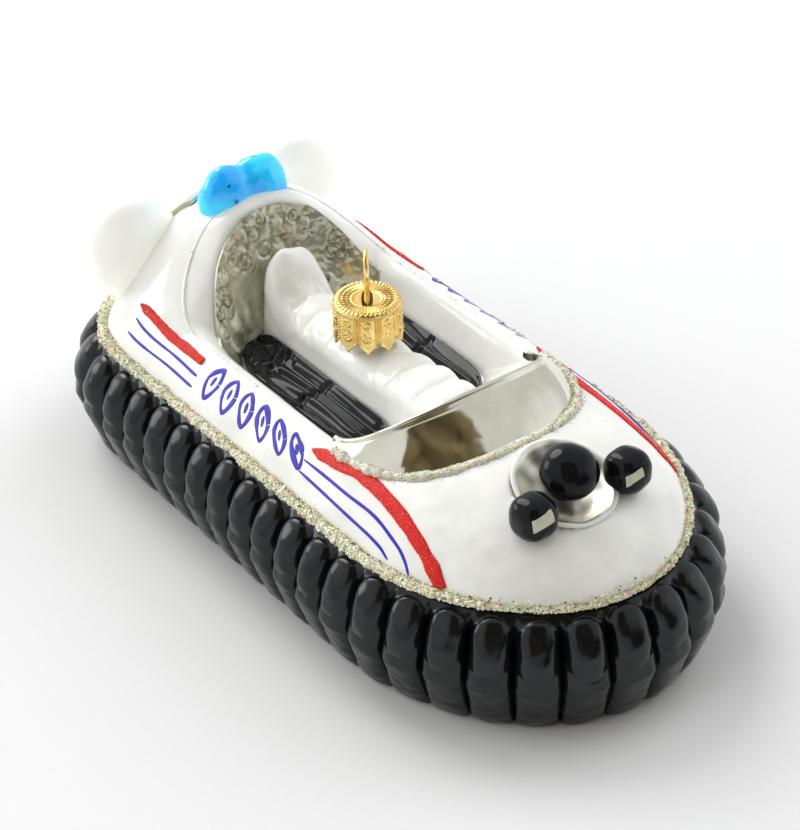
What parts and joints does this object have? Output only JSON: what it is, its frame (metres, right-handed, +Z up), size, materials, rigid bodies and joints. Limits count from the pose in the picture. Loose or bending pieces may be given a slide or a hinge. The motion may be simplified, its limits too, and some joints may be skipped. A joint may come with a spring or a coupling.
{
  "type": "hovercraft glass tree ornament",
  "caption": "Small hovercraft figure in blown, painted glass with a fingered skirt, an open cockpit under a hood, and a gold cap with a wire hanger.",
  "frame": {"origin": "middle of the foot of the skirt, on the surface that the ornament stands on", "axes": "-Y towards the bow, +X to port, +Z up"},
  "size_m": [0.078, 0.1543, 0.0561],
  "materials": {
    "black_gloss": "high-gloss black enamel on glass",
    "pearl_white": "pearl white lacquer on silvered glass",
    "silvered_glass": "silvered glass, slightly tarnished",
    "glitter": "coarse champagne glitter in clear glue",
    "beacon_blue": "bright translucent blue lacquer",
    "milk_glass": "milk-white glass",
    "clear_glass": "clear glass with a silvered inside",
    "gilt_brass": "bright gilt stamped brass",
    "red_glitter": "fine red glitter in glue",
    "blue_line": "thin blue enamel brush lines",
    "lens_cream": "cream enamel"
  },
  "bodies": {
    "glass_figure": {"skirt": "black_gloss", "underside_panel": "black_gloss", "skirt_glitter": "glitter", "deck": "pearl_white", "cockpit_liner": "silvered_glass", "bench": "pearl_white", "foot_mat_starboard": "black_gloss", "foot_mat_port": "black_gloss", "windscreen": "silvered_glass", "windscreen_glitter": "glitter", "hood_glitter": "glitter", "bow_dish": "silvered_glass", "bow_ball": "black_gloss", "bow_lamp_starboard": "black_gloss", "bow_lamp_port": "black_gloss", "beacon": "beacon_blue", "fan_globe_starboard": "milk_glass", "fan_globe_port": "milk_glass", "stern_panel": "silvered_glass", "neck": "clear_glass"},
    "cap": {"crown_cap": "gilt_brass"},
    "hanger": {"wire_hanger": "gilt_brass"}
  },
  "joints": [
    {"name": "cap_lift", "type": "slide", "parent": "glass_figure", "child": "cap", "axis": [0, 0, 1], "range_m": [0, 0.018]},
    {"name": "hanger_slide", "type": "slide", "parent": "cap", "child": "hanger", "axis": [0, 0, 1], "range_m": [-0.004, 0]}
  ]
}
